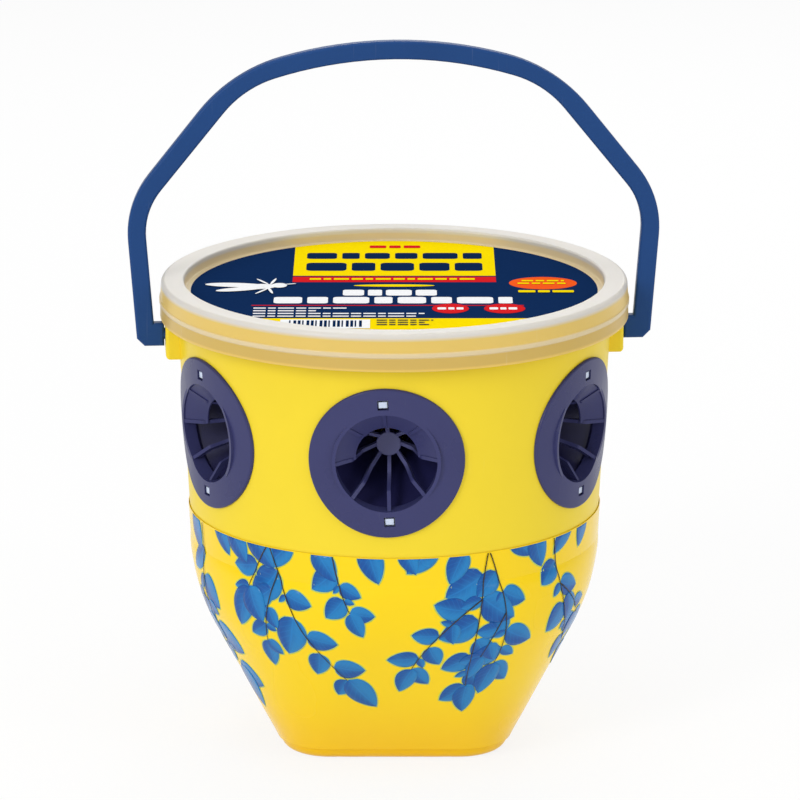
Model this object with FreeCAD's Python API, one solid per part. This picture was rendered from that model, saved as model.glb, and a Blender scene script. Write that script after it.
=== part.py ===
import FreeCAD, Part
import math
import os

# Fly trap: a tapered bucket with six screened entry cones, a pressed-on lid,
# a printed sleeve round its lower half and a swinging bail handle.
# Millimetres, +Z up. The origin is the centre of the foot. The bail hangs from
# lugs on +X and -X, and one entry faces the front (-Y) to within a few degrees.

V = FreeCAD.Vector
ORIGIN = V(0, 0, 0)
UP = V(0, 0, 1)

# Bucket: a rounded square at the foot that opens into a round drafted wall
FOOT_HALF = 51.3            # half-width of the foot, before its edge is rounded
FOOT_CORNER = 20.0          # plan radius of the foot's corners
FOOT_ROUND = 6.5            # radius of the edge between foot and side
SHOULDER_Z = 79.7           # height where the taper meets the drafted wall
SHOULDER_R = 95.15          # radius there
SHOULDER_BLEND = 17.5       # the shoulder is blended this far up and down
DRAFT = 0.0538              # growth of the wall's radius per unit of height
ROUND_Z = 98.0              # the section is a full circle from here up
WALL = 1.6
FLOOR = 2.2
BUCKET_TOP = 219.1
TUB_TURN = -4.0             # the square foot and the entries are turned this far from the lugs
SECTION_POINTS = 72

# Rim: a flat ring round the mouth with a lip turned down
RIM_OVERHANG = 4.95         # from the wall's face out to the rim's edge
RIM_THICK = 2.5
LIP_THICK = 1.6
LIP_DEPTH = 11.6            # from the top of the rim
MOUTH_EDGE = round(SHOULDER_R + DRAFT * (BUCKET_TOP - SHOULDER_Z), 2)
RIM_R = round(MOUTH_EDGE + RIM_OVERHANG, 2)
LIP_BOTTOM = BUCKET_TOP - LIP_DEPTH

# Bail lugs
LUG_FACE = RIM_R            # the lug's face is flush with the rim
LUG_HALF_WIDTH = 9.0
LUG_ROUND = 2.0
PIN_DROP = 23.6             # from the top of the rim down to the pins
PIN_Z = BUCKET_TOP - PIN_DROP
LUG_BOTTOM = PIN_Z - 10.5
BORE_R = 2.78
BORE_DEPTH = 5.4
BORE_END = LUG_FACE - BORE_DEPTH

# Bail handle: a flat strip bent in the XZ plane
BAIL_RISE = 114.5           # from the top of the rim to the top of the grip
BAIL_TOP = BUCKET_TOP + BAIL_RISE
BAIL_WIDTH = 8.6            # of the grip and the legs, in the plane of the bail
BAIL_DEPTH = 6.0            # along Y
BAIL_ROUND = 1.3
# each edge bends three times: radius and slope reached in degrees
OUTER_BENDS = ((197.0, 15.4), (75.0, 51.3), (45.4, 94.3))
INNER_BENDS = ((189.0, 17.1), (49.3, 50.9), (32.3, 94.3))
BAIL_GAP = 0.5              # from the lug's face to the bail's foot
FOOT_HEIGHT = 11.0          # centred on the pin
FOOT_BOTTOM = PIN_Z - FOOT_HEIGHT / 2
FOOT_TOP = PIN_Z + FOOT_HEIGHT / 2
FOOT_INNER = LUG_FACE + BAIL_GAP
FOOT_LENGTH = 12.83            # from there out to the leg's outer edge
FOOT_CHAMFER = 3.6
PIN_R = 2.7
PIN_CLEARANCE = 0.4         # from the bore's end to the pin's
PIN_END = BORE_END + PIN_CLEARANCE

# Lid: a sunk plate, a flat ring over the rim and a skirt outside it
LID_GAP = 1.0               # from the rim's edge to the skirt
LID_SEAT = 0.3              # from the top of the rim to the ring
RING_THICK = 1.6
SKIRT_THICK = 1.1
SKIRT_DEPTH = 17.2
LID_TOP = BUCKET_TOP + LID_SEAT + RING_THICK
LID_BOTTOM = LID_TOP - SKIRT_DEPTH
SKIRT_INNER = RIM_R + LID_GAP
SKIRT_R = SKIRT_INNER + SKIRT_THICK
RECESS_INSET = 4.15         # from the wall's face in to the recess
RING_INNER = MOUTH_EDGE - RECESS_INSET
RECESS_DEPTH = 6.0
RECESS_WALL = 0.8
PLATE_THICK = 1.2
BEAD_DROP = 9.6             # from the top of the lid
BEAD_Z = LID_TOP - BEAD_DROP
BEAD_HALF = 0.8
BEAD_PROUD = 0.5
LID_R = SKIRT_R + BEAD_PROUD

# Printed film
LABEL_INSET = 3.1
LABEL_R = RING_INNER - LABEL_INSET
FILM = 0.3
SLEEVE_BOTTOM = 6.0
SLEEVE_TOP = 112.7
SLEEVE_GAP = 0.3

# Entries: a dark screen on the outside and a funnel behind it
# angle round the tub from its front face, and turn of the screen in its hole
ENTRIES = {"front": (-2.0, 3.0), "front_right": (61.0, 0.0), "back_right": (119.0, 0.0),
           "back": (178.0, 0.0), "back_left": (241.0, 0.0), "front_left": (299.0, 0.0)}
ENTRY_Z = 158.5
HOLE_R = 32.5
FIT = 0.15                  # air between the wall and the parts clipped to it
FLANGE_LAP = 3.1            # of the screen's flange over the wall
FLANGE_R = HOLE_R + FLANGE_LAP
FLANGE_THICK = 1.4
FLANGE_ROUND = 0.9
MOUTH_R = 23.2
MOUTH_WALL = 1.6
COLLAR_DEPTH = 6.0
WINDOW = (5.0, 4.6)         # sideways, up and down
HOOD_SPAN = 184.0           # degrees of the mouth shaded by the hood
HOOD_R = 14.2               # inner edge of the hood
RIB_COUNT = 8
RIB_WIDTH = 1.7
NOSE_FACE = 27.0            # depth of the nose's flat face
NOSE_DEPTH = 31.2
NOSE_R = 5.8

# Ring and funnel behind each screen
RING_LAP = 4.0              # of the ring over the wall
RING_R = HOLE_R + RING_LAP
RING_PLATE = 1.4
FUNNEL_WALL = 1.2
FUNNEL_FIT = 0.2
FUNNEL_MOUTH = MOUTH_R + MOUTH_WALL + FUNNEL_FIT
FUNNEL_EXIT = 8.5
FUNNEL_START = 8.0
FUNNEL_DEPTH = 48.0
HOOK = (3.8, 2.8)           # sideways, up and down
HOOK_REACH = 0.8
HOOK_GAP = 0.2              # from the ring's bore to its hooks


# --- shapes used by several pieces ---------------------------------------------

def half_width(z):
    """Half-width across the flats: taper, blended shoulder, drafted wall."""
    taper = (SHOULDER_R - FOOT_HALF) / SHOULDER_Z
    above = z - (SHOULDER_Z - SHOULDER_BLEND)
    if above <= 0:
        return FOOT_HALF + taper * z
    if above >= 2 * SHOULDER_BLEND:
        return wall_radius(z)
    return FOOT_HALF + taper * z + (DRAFT - taper) * above ** 2 / (4 * SHOULDER_BLEND)


def wall_radius(z):
    """Outer radius of the drafted wall."""
    return SHOULDER_R + DRAFT * (z - SHOULDER_Z)


def corner_radius(z):
    """Plan radius of the corners, growing until the section is a circle."""
    if z >= ROUND_Z:
        return half_width(z)
    return FOOT_CORNER + (half_width(ROUND_Z) - FOOT_CORNER) * z / ROUND_Z


def section(z, inset):
    """The bucket's outline at height z, drawn in by inset."""
    half = half_width(z) - inset
    corner = corner_radius(z) - inset
    reach = math.sqrt(2) * (half - corner)
    flat_end = math.atan2(half - corner, half)
    points = []
    for step in range(SECTION_POINTS):
        angle = 2 * math.pi * step / SECTION_POINTS
        turn = abs((angle + math.pi / 4) % (math.pi / 2) - math.pi / 4)
        if turn <= flat_end:
            radius = half / math.cos(turn)
        else:
            off = math.pi / 4 - turn
            radius = reach * math.cos(off) + math.sqrt(corner ** 2 - (reach * math.sin(off)) ** 2)
        turned = angle + math.radians(TUB_TURN)
        points.append(V(radius * math.cos(turned), radius * math.sin(turned), z))
    curve = Part.BSplineCurve()
    curve.interpolate(points, PeriodicFlag=True)
    return Part.Wire(curve.toShape())


def tapered_body(bottom, top, inset, edge_round=0.0):
    """A solid of the bucket's shape between two heights."""
    steps = 9
    levels = [bottom + (ROUND_Z - bottom) * i / steps for i in range(steps + 1)]
    lower = Part.makeLoft([section(z, inset) for z in levels], True, False)
    upper = Part.makeLoft([section(ROUND_Z, inset), section(top, inset)], True, True)
    if edge_round:
        foot = [e for e in lower.Edges if abs(e.BoundBox.ZMax - bottom) < 0.01 and e.BoundBox.ZLength < 0.01]
        lower = lower.makeFillet(edge_round, foot)
    return lower.fuse(upper).removeSplitter()


def rounded_face(corners):
    """A face in the XZ plane from (x, z, radius) corners."""
    edges = []
    count = len(corners)
    ends = []
    for i, (x, z, radius) in enumerate(corners):
        here = V(x, 0, z)
        before = V(corners[i - 1][0], 0, corners[i - 1][1]) - here
        after = V(corners[(i + 1) % count][0], 0, corners[(i + 1) % count][1]) - here
        before.normalize()
        after.normalize()
        if radius == 0:
            ends.append((here, here))
            continue
        half_angle = before.getAngle(after) / 2
        cut = radius / math.tan(half_angle)
        bisector = before + after
        bisector.normalize()
        middle = here + bisector * (radius / math.sin(half_angle) - radius)
        start, end = here + before * cut, here + after * cut
        edges.append(Part.Arc(start, middle, end).toShape())
        ends.append((start, end))
    for i in range(count):
        start, end = ends[i - 1][1], ends[i][0]
        edges.append(Part.LineSegment(start, end).toShape())
    return Part.Face(Part.Wire(Part.__sortEdges__(edges)))


def ring(corners, degrees=360.0):
    """A solid turned about Z from a profile of (x, z, radius) corners."""
    return rounded_face(corners).revolve(ORIGIN, UP, degrees)


def wall_layer(inner, outer):
    """A layer of the drafted wall between two offsets from its outer face."""
    low, high = ENTRY_Z - 2 * RING_R, ENTRY_Z + 1.5 * RING_R
    solids = []
    for offset in (outer, inner):
        base = V(0, 0, low)
        solids.append(Part.makeCone(wall_radius(low) + offset, wall_radius(high) + offset, high - low, base))
    return solids[0].cut(solids[1])


def entry_placement():
    """From an entry's own frame (+Z out, +Y up) to the front of the wall."""
    tilt = math.atan(DRAFT)
    out = V(0, -math.cos(tilt), -math.sin(tilt))
    up = V(0, -math.sin(tilt), math.cos(tilt))
    side = up.cross(out)
    centre = V(0, -wall_radius(ENTRY_Z), ENTRY_Z)
    return FreeCAD.Placement(centre, FreeCAD.Rotation(side, up, out, "ZYX"))


def placed(shape):
    """The shape moved from the entry's frame to the front of the wall."""
    moved = shape.copy()
    moved.Placement = entry_placement().multiply(moved.Placement)
    return moved


def bar(radius, start, end):
    """A cylinder along the entry's axis; depth into the bucket is negative."""
    return placed(Part.makeCylinder(radius, end - start, V(0, 0, start)))


def entry_box(middle_y, size, start, end, turn):
    """A box along the entry's axis, centred above or below it, turned about it."""
    width, height = size
    block = Part.makeBox(width, height, end - start, V(-width / 2, middle_y - height / 2, start))
    block.rotate(ORIGIN, UP, turn)
    return placed(block)


# --- bucket -----------------------------------------------------------------------

def rim():
    wall_middle = wall_radius(BUCKET_TOP) - WALL / 2
    return ring([(wall_middle, BUCKET_TOP - RIM_THICK, 0), (wall_middle, BUCKET_TOP, 0),
                 (RIM_R, BUCKET_TOP, 1.0), (RIM_R, LIP_BOTTOM, 0.6),
                 (RIM_R - LIP_THICK, LIP_BOTTOM, 0.4), (RIM_R - LIP_THICK, BUCKET_TOP - RIM_THICK, 0)])


def lug():
    """The block on +X that takes a bail pin, without its bore."""
    start = wall_radius(PIN_Z) - WALL / 2 - 0.3
    block = Part.makeBox(LUG_FACE - start, 2 * LUG_HALF_WIDTH, LIP_BOTTOM + 1 - LUG_BOTTOM,
                         V(start, -LUG_HALF_WIDTH, LUG_BOTTOM))
    outer = [e for e in block.Edges if e.BoundBox.XMin > start + 0.1 and e.BoundBox.ZMin < LIP_BOTTOM]
    return block.makeFillet(LUG_ROUND, outer)


def bucket():
    shell = tapered_body(0.0, BUCKET_TOP, 0.0, FOOT_ROUND)
    cavity = tapered_body(FLOOR, BUCKET_TOP + 5, WALL, FOOT_ROUND - WALL)
    shell = shell.cut(cavity).fuse(rim())
    bore = Part.makeCylinder(BORE_R, LUG_FACE - BORE_END + 5, V(BORE_END, 0, PIN_Z), V(1, 0, 0))
    for side in (0, 180):
        block = lug().cut(bore)
        block.rotate(ORIGIN, UP, side)
        shell = shell.fuse(block)
        hole = bore.copy()
        hole.rotate(ORIGIN, UP, side)
        shell = shell.cut(hole)
    for angle, _ in ENTRIES.values():
        hole = bar(HOLE_R, -14, 8)
        hole.rotate(ORIGIN, UP, TUB_TURN + angle)
        shell = shell.cut(hole)
    return shell


def label_sleeve():
    """Printed film shrunk round the lower half."""
    outer = tapered_body(SLEEVE_BOTTOM, SLEEVE_TOP, -SLEEVE_GAP - FILM)
    return outer.cut(tapered_body(SLEEVE_BOTTOM, SLEEVE_TOP, -SLEEVE_GAP))


# --- lid --------------------------------------------------------------------------

def lid():
    plate_top = LID_TOP - RECESS_DEPTH
    under_ring = LID_TOP - RING_THICK
    plug_r = RING_INNER + RECESS_WALL
    return ring([(0, plate_top - PLATE_THICK, 0), (0, plate_top, 0),
                 (RING_INNER, plate_top, 0.8), (RING_INNER, LID_TOP, 1.0),
                 (SKIRT_R - 0.5, LID_TOP, 2.0), (SKIRT_R, BEAD_Z + BEAD_HALF + 0.5, 0.3),
                 (LID_R, BEAD_Z + BEAD_HALF, 0.3), (LID_R, BEAD_Z - BEAD_HALF, 0.3),
                 (SKIRT_R, BEAD_Z - BEAD_HALF - 0.5, 0.3), (SKIRT_R + 0.2, LID_BOTTOM, 0.4),
                 (SKIRT_INNER, LID_BOTTOM, 0.3), (SKIRT_INNER, under_ring, 0.4),
                 (plug_r, under_ring, 0), (plug_r, plate_top - PLATE_THICK, 0.5)])


def lid_label():
    """Round printed film lying in the lid's recess."""
    return Part.makeCylinder(LABEL_R, FILM, V(0, 0, LID_TOP - RECESS_DEPTH))


# --- bail handle ------------------------------------------------------------------

def bail_edge(top, bends, flank):
    """Right half of one edge of the strip, as edges, with its end and direction."""
    edges = []
    here, slope, ahead = V(0, 0, top), 0.0, V(1, 0, 0)
    for radius, reached in bends:
        if reached == bends[-1][1]:
            far = here + ahead * flank
            edges.append(Part.LineSegment(here, far).toShape())
            here = far
        centre = here + V(-math.sin(slope), 0, -math.cos(slope)) * radius
        stops = [slope, (slope + math.radians(reached)) / 2, math.radians(reached)]
        arc = [centre + V(math.sin(a), 0, math.cos(a)) * radius for a in stops]
        edges.append(Part.Arc(*arc).toShape())
        here, slope = arc[2], stops[2]
        ahead = V(math.cos(slope), 0, -math.sin(slope))
    return edges, here, ahead


def leg_foot(edge_end, ahead):
    """Point where a leg's outer edge meets the chamfer of its foot."""
    return edge_end + ahead * ((edge_end.z - FOOT_BOTTOM - FOOT_CHAMFER) / -ahead.z)


def outer_flank():
    """Straight stretch of the outer edge that brings the leg down to its foot."""
    short = leg_foot(*bail_edge(BAIL_TOP, OUTER_BENDS, 1.0)[1:]).x
    longer = leg_foot(*bail_edge(BAIL_TOP, OUTER_BENDS, 2.0)[1:]).x
    return round(1.0 + (FOOT_INNER + FOOT_LENGTH - short) / (longer - short), 1)


def bail_outline():
    """Closed outline of the bent strip with its two turned-in feet."""
    outer, outer_end, ahead = bail_edge(BAIL_TOP, OUTER_BENDS, outer_flank())
    across = V(-ahead.z, 0, ahead.x)
    flank_slope = math.radians(INNER_BENDS[1][1])
    flank_ahead = V(math.cos(flank_slope), 0, -math.sin(flank_slope))
    trial_end = bail_edge(BAIL_TOP - BAIL_WIDTH, INNER_BENDS, 1.0)[1]
    spare = (outer_end - trial_end).dot(across) - BAIL_WIDTH
    inner, inner_end, _ = bail_edge(BAIL_TOP - BAIL_WIDTH, INNER_BENDS, 1.0 + spare / flank_ahead.dot(across))
    ankle = leg_foot(outer_end, ahead)
    heel_top = inner_end + ahead * ((inner_end.z - FOOT_TOP) / -ahead.z)
    foot = [outer_end, ankle, V(ankle.x - FOOT_CHAMFER, 0, FOOT_BOTTOM), V(FOOT_INNER, 0, FOOT_BOTTOM),
            V(FOOT_INNER, 0, FOOT_TOP), heel_top, inner_end]
    half = outer + inner + [Part.LineSegment(a, b).toShape() for a, b in zip(foot, foot[1:])]
    mirrored = [e.mirror(ORIGIN, V(1, 0, 0)) for e in half]
    return Part.Wire(Part.__sortEdges__(half + mirrored))


def handle():
    strip = Part.Face(bail_outline()).extrude(V(0, BAIL_DEPTH, 0))
    strip.translate(V(0, -BAIL_DEPTH / 2, 0))
    strip = strip.makeFillet(BAIL_ROUND, [e for e in strip.Edges if e.BoundBox.YLength < 0.01])
    for side in (-1, 1):
        pin = Part.makeCylinder(PIN_R, FOOT_INNER - PIN_END + 2, V(side * PIN_END, 0, PIN_Z), V(side, 0, 0))
        strip = strip.fuse(pin)
    return strip.removeSplitter()


# --- entry screen -----------------------------------------------------------------

def flange():
    """Round flange wrapped on the wall, its outer edge rounded over."""
    disc = wall_layer(FIT, FIT + FLANGE_THICK).common(bar(FLANGE_R, -20, 10))
    disc = disc.cut(bar(MOUTH_R, -30, 20))
    front = max(disc.Faces, key=lambda face: -face.CenterOfMass.y if face.Area > 1500 else 0)
    rims = sorted(front.Edges, key=lambda edge: edge.Length)
    disc = disc.makeFillet(FLANGE_ROUND, rims[-1:])
    collar = bar(MOUTH_R + MOUTH_WALL, -COLLAR_DEPTH, 0).cut(bar(MOUTH_R, -30, 20))
    return disc.fuse(collar)


def hood():
    """Sloping half-dish over the upper half of the mouth."""
    root = MOUTH_R + MOUTH_WALL / 4
    dish = ring([(root, -0.6, 0), (HOOD_R, -8.0, 0), (HOOD_R, -9.4, 0.4), (root, -2.2, 0)], HOOD_SPAN)
    dish.rotate(ORIGIN, UP, 90 - HOOD_SPAN / 2)
    return dish


def screen_rib():
    """One rib of the screen: from the mouth down to the nose."""
    root = MOUTH_R + MOUTH_WALL / 4
    end = NOSE_R - 0.8
    profile = [(root, 0, 0), (15.4, -6.4, 3), (11.2, -19.0, 6), (end, -NOSE_FACE - 0.6, 0),
               (end, 0.8 - NOSE_DEPTH, 0), (12.4, -21.0, 6), (17.2, -8.4, 3), (root, -3.0, 0)]
    rib = rounded_face(profile).extrude(V(0, RIB_WIDTH, 0))
    rib.translate(V(0, -RIB_WIDTH / 2, 0))
    return rib


def nose():
    """Button that the ribs run down to."""
    return ring([(0, -NOSE_DEPTH, 0), (NOSE_R, -NOSE_DEPTH, 0.8), (NOSE_R, -NOSE_FACE, 0.6), (0, -NOSE_FACE, 0)])


def funnel_bore():
    """Radius of the hole in the ring that the funnel's collar sits in."""
    return FUNNEL_MOUTH + FUNNEL_WALL + FIT


def hook_middle():
    """Distance of the hooks and their windows from the entry's axis."""
    return funnel_bore() + HOOK_GAP + HOOK[1] / 2


def entry_bezel(turn):
    screen = hood().fuse(nose())
    for i in range(RIB_COUNT):
        rib = screen_rib()
        rib.rotate(ORIGIN, UP, 360.0 * i / RIB_COUNT)
        screen = screen.fuse(rib)
    screen.rotate(ORIGIN, UP, turn)
    screen = flange().fuse(placed(screen))
    for side in (-1, 1):
        screen = screen.cut(entry_box(side * hook_middle(), WINDOW, -6, 8, turn))
    return screen


# --- behind the screen --------------------------------------------------------------

def entry_ring(turn):
    """Pale ring behind the wall, hooked through it into the screen's windows."""
    behind = wall_layer(-WALL - FIT - RING_PLATE, -WALL - FIT)
    plate = behind.common(bar(RING_R, -20, 10))
    for side in (-1, 1):
        plate = plate.fuse(entry_box(side * hook_middle(), HOOK, -WALL - FIT - RING_PLATE / 2, HOOK_REACH, turn))
    return plate.cut(bar(funnel_bore(), -20, 10))


def entry_funnel():
    """One-way cone whose collar sits in the ring."""
    outer = FUNNEL_MOUTH + FUNNEL_WALL
    inside = wall_layer(-2 * FUNNEL_MOUTH, -WALL - FIT)
    collar = inside.common(bar(outer, -FUNNEL_START - 0.5, 0)).cut(bar(FUNNEL_MOUTH, -20, 10))
    cone = placed(ring([(FUNNEL_MOUTH, -FUNNEL_START, 0), (outer, -FUNNEL_START, 0),
                        (FUNNEL_EXIT + FUNNEL_WALL, -FUNNEL_DEPTH, 0.4), (FUNNEL_EXIT, -FUNNEL_DEPTH, 0.4)]))
    return collar.fuse(cone)


# --- output -----------------------------------------------------------------------

def whole(shape, name):
    """The shape as a single checked solid."""
    if len(shape.Solids) != 1 or not shape.isValid():
        raise ValueError(f"{name}: {len(shape.Solids)} solids, valid {shape.isValid()}")
    return shape.Solids[0]


def pieces():
    """Every node of the model, by name."""
    nodes = {"bucket": bucket(), "label_sleeve": label_sleeve(), "lid": lid(),
             "lid_label": lid_label(), "handle": handle()}
    turns = {turn for _, turn in ENTRIES.values()}
    bezels = {turn: entry_bezel(turn) for turn in turns}
    rings = {turn: entry_ring(turn) for turn in turns}
    funnel = entry_funnel()
    for name, (angle, turn) in ENTRIES.items():
        for kind, shape in (("bezel", bezels[turn]), ("ring", rings[turn]), ("funnel", funnel)):
            turned = shape.copy()
            turned.rotate(ORIGIN, UP, TUB_TURN + angle)
            nodes[f"entry_{kind}_{name}"] = turned
    return nodes


os.makedirs("parts", exist_ok=True)
for node, solid in pieces().items():
    solid = whole(solid, node)
    solid.exportStep(f"parts/{node}.step")
    box = solid.BoundBox
    print(f"{node}: {solid.Volume / 1000:.2f} cm3, x {box.XMin:.1f}..{box.XMax:.1f}, "
          f"y {box.YMin:.1f}..{box.YMax:.1f}, z {box.ZMin:.1f}..{box.ZMax:.1f}")
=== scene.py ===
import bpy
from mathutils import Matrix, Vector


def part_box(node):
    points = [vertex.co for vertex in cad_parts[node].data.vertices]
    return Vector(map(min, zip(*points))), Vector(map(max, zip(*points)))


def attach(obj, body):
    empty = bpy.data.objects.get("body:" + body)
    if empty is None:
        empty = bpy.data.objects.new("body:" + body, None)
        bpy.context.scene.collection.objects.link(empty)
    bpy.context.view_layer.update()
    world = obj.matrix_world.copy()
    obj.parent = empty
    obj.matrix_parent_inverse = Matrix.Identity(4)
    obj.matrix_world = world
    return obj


bl_info = {
    "name": "Bucket Fly Trap",
    "version": (1, 0, 0),
    "blender": (4, 5, 0),
    "location": "View3D > Sidebar > Fly Trap",
    "description": "Finishes a bucket fly trap: plastics, printed sleeve and lid, and a plain studio",
    "category": "Object",
}

import itertools
import math
import random

import bmesh
import bpy
from bpy.props import FloatProperty, FloatVectorProperty, IntProperty, PointerProperty
from mathutils import Matrix, Vector
from mathutils.bvhtree import BVHTree

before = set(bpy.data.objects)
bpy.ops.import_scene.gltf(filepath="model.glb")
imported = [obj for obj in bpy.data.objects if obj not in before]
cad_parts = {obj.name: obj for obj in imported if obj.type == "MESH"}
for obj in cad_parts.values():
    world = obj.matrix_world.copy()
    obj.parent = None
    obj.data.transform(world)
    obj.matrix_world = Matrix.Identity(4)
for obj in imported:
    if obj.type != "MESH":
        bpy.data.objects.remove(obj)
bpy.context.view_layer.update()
MM = 0.001


def colour(red, green, blue):
    """Scene colour from the 0-255 values that a paint chart gives."""
    def linear(value):
        value /= 255
        return value / 12.92 if value <= 0.04045 else ((value + 0.055) / 1.055) ** 2.4
    return (linear(red), linear(green), linear(blue))


# --- sizes and colours that a user would change -----------------------------------

def colour_prop(name, default, description):
    return FloatVectorProperty(name=name, description=description, subtype="COLOR", size=3,
                               min=0.0, max=1.0, default=colour(*default))


def length_prop(name, default, description):
    return FloatProperty(name=name, description=description, subtype="DISTANCE", unit="LENGTH",
                         min=0.0, default=default)


class PlasticSettings(bpy.types.PropertyGroup):
    tub: colour_prop("Tub", (246, 218, 48), "Colour of the moulded tub")
    tub_foot: colour_prop("Tub's foot", (255, 208, 8), "Colour of the tub below the sleeve")
    lid: colour_prop("Lid", (234, 229, 220), "Colour of the lid's milky plastic where nothing shows through")
    lid_over_tub: colour_prop("Lid over the tub", (250, 213, 112), "Colour of the lid where the tub shows through")
    handle: colour_prop("Handle", (33, 70, 126), "Colour of the bail handle")
    screen: colour_prop("Screen", (60, 62, 106), "Colour of the entry screens")
    # Painted light: the ribs and nose are the screen's own plastic, given a lighter colour where they catch the light
    # deep in the mouth
    ribs: colour_prop("Ribs", (104, 106, 152), "Colour of the screens' ribs and nose, deep in the mouth")
    funnel: colour_prop("Funnel", (34, 34, 78), "Colour of the funnels behind the screens")
    ring: colour_prop("Ring", (206, 218, 240), "Colour of the retaining rings")


class SleeveSettings(bpy.types.PropertyGroup):
    film: colour_prop("Film", (255, 217, 0), "Colour of the printed film")
    # Painted shade: the colour that the film darkens to at the foot, where less light reaches it
    film_low: colour_prop("Film at the foot", (255, 210, 4), "Colour that the film deepens to at the foot")
    leaf_light: colour_prop("Leaf, light side", (28, 126, 192), "Colour of a leaf's lit half")
    leaf_dark: colour_prop("Leaf, dark side", (8, 80, 158), "Colour of a leaf's shaded half")
    halo: colour_prop("Leaf edge", (196, 214, 92), "Colour of the pale line round each leaf")
    stem: colour_prop("Stem", (52, 44, 22), "Colour of the stems")
    leaf_length: length_prop("Leaf length", 19.0 * MM, "Length of a middling leaf")
    halo_width: length_prop("Edge width", 0.45 * MM, "Width of the pale line round each leaf")
    stem_width: length_prop("Stem width", 0.6 * MM, "Width of a stem")
    ink_step: length_prop("Ink step", 0.03 * MM, "Height of each printed layer above the one under it")
    print_turn: FloatProperty(name="Print turn", description="Turn of the print round the sleeve",
                              subtype="ANGLE", unit="ROTATION", default=math.radians(-4.8))
    seed: IntProperty(name="Seed", description="Changes the small differences between leaves", default=7, min=0)


class LidPrintSettings(bpy.types.PropertyGroup):
    navy: colour_prop("Ground", (18, 44, 86), "Ground colour of the lid's print")
    yellow: colour_prop("Yellow", (253, 220, 8), "Colour of the print's yellow panels")
    red: colour_prop("Red", (214, 34, 40), "Colour of the print's red bars")
    orange: colour_prop("Orange", (244, 92, 34), "Colour of the round badge")
    white: colour_prop("White", (244, 246, 250), "Colour of the print's white marks")
    ink_step: length_prop("Ink step", 0.04 * MM, "Height of each printed layer above the one under it")
    print_turn: FloatProperty(name="Print turn", description="Turn of the print on the lid",
                              subtype="ANGLE", unit="ROTATION", default=math.radians(-4.0))


class StudioSettings(bpy.types.PropertyGroup):
    distance: length_prop("Camera distance", 2.36, "From the camera to the point it looks at")
    look_side: length_prop("Look aside", 2.7 * MM, "From the trap's axis to that point, to the camera's right")
    look_height: length_prop("Look height", 0.161, "Height of the point that the camera looks at")
    elevation: FloatProperty(name="Camera elevation", description="Angle of the camera above the level",
                             subtype="ANGLE", unit="ROTATION", default=math.radians(15.3))
    azimuth: FloatProperty(name="Camera azimuth", description="Angle of the camera round the trap",
                           subtype="ANGLE", unit="ROTATION", default=math.radians(-4.0))
    lens: FloatProperty(name="Lens", description="Focal length in millimetres", default=225.0, min=1.0)
    floor: colour_prop("Floor", (250, 250, 250), "Colour of the floor and backdrop")


# --- materials: shared groups -------------------------------------------------------

def socket(group, name, kind, in_out, default=None):
    made = group.interface.new_socket(name=name, in_out=in_out, socket_type=kind)
    if default is not None:
        made.default_value = default
    return made


def add(tree, kind, inputs=None, **settings):
    """A new node with its settings, its named inputs set or linked."""
    node = tree.nodes.new(kind)
    for name, value in settings.items():
        setattr(node, name, value)
    for name, value in (inputs or {}).items():
        if isinstance(value, bpy.types.NodeSocket):
            tree.links.new(value, node.inputs[name])
        else:
            node.inputs[name].default_value = value
    return node


def moulded_skin():
    """Group: the faint orange peel and mottling of moulded plastic."""
    group = bpy.data.node_groups.new("Moulded Skin", "ShaderNodeTree")
    socket(group, "Scale", "NodeSocketFloat", "INPUT", 500.0)
    socket(group, "Roughness", "NodeSocketFloat", "INPUT", 0.35)
    socket(group, "Spread", "NodeSocketFloat", "INPUT", 0.06)
    socket(group, "Height", "NodeSocketFloat", "OUTPUT")
    socket(group, "Roughness", "NodeSocketFloat", "OUTPUT")
    socket(group, "Mottle", "NodeSocketFloat", "OUTPUT")
    start = add(group, "NodeGroupInput")
    place = add(group, "ShaderNodeTexCoord").outputs["Object"]
    peel = add(group, "ShaderNodeTexNoise", {"Vector": place, "Scale": start.outputs["Scale"], "Detail": 3.0})
    broad = add(group, "ShaderNodeTexNoise", {"Vector": place, "Scale": 22.0, "Detail": 4.0, "Roughness": 0.6})
    low = add(group, "ShaderNodeMath", {0: start.outputs["Roughness"], 1: start.outputs["Spread"]},
              operation="SUBTRACT").outputs[0]
    high = add(group, "ShaderNodeMath", {0: start.outputs["Roughness"], 1: start.outputs["Spread"]},
               operation="ADD").outputs[0]
    rough = add(group, "ShaderNodeMapRange", {"Value": broad.outputs["Fac"], "From Min": 0.3, "From Max": 0.7,
                                              "To Min": low, "To Max": high})
    end = add(group, "NodeGroupOutput")
    group.links.new(peel.outputs["Fac"], end.inputs["Height"])
    group.links.new(rough.outputs["Result"], end.inputs["Roughness"])
    group.links.new(broad.outputs["Fac"], end.inputs["Mottle"])
    return group


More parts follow.
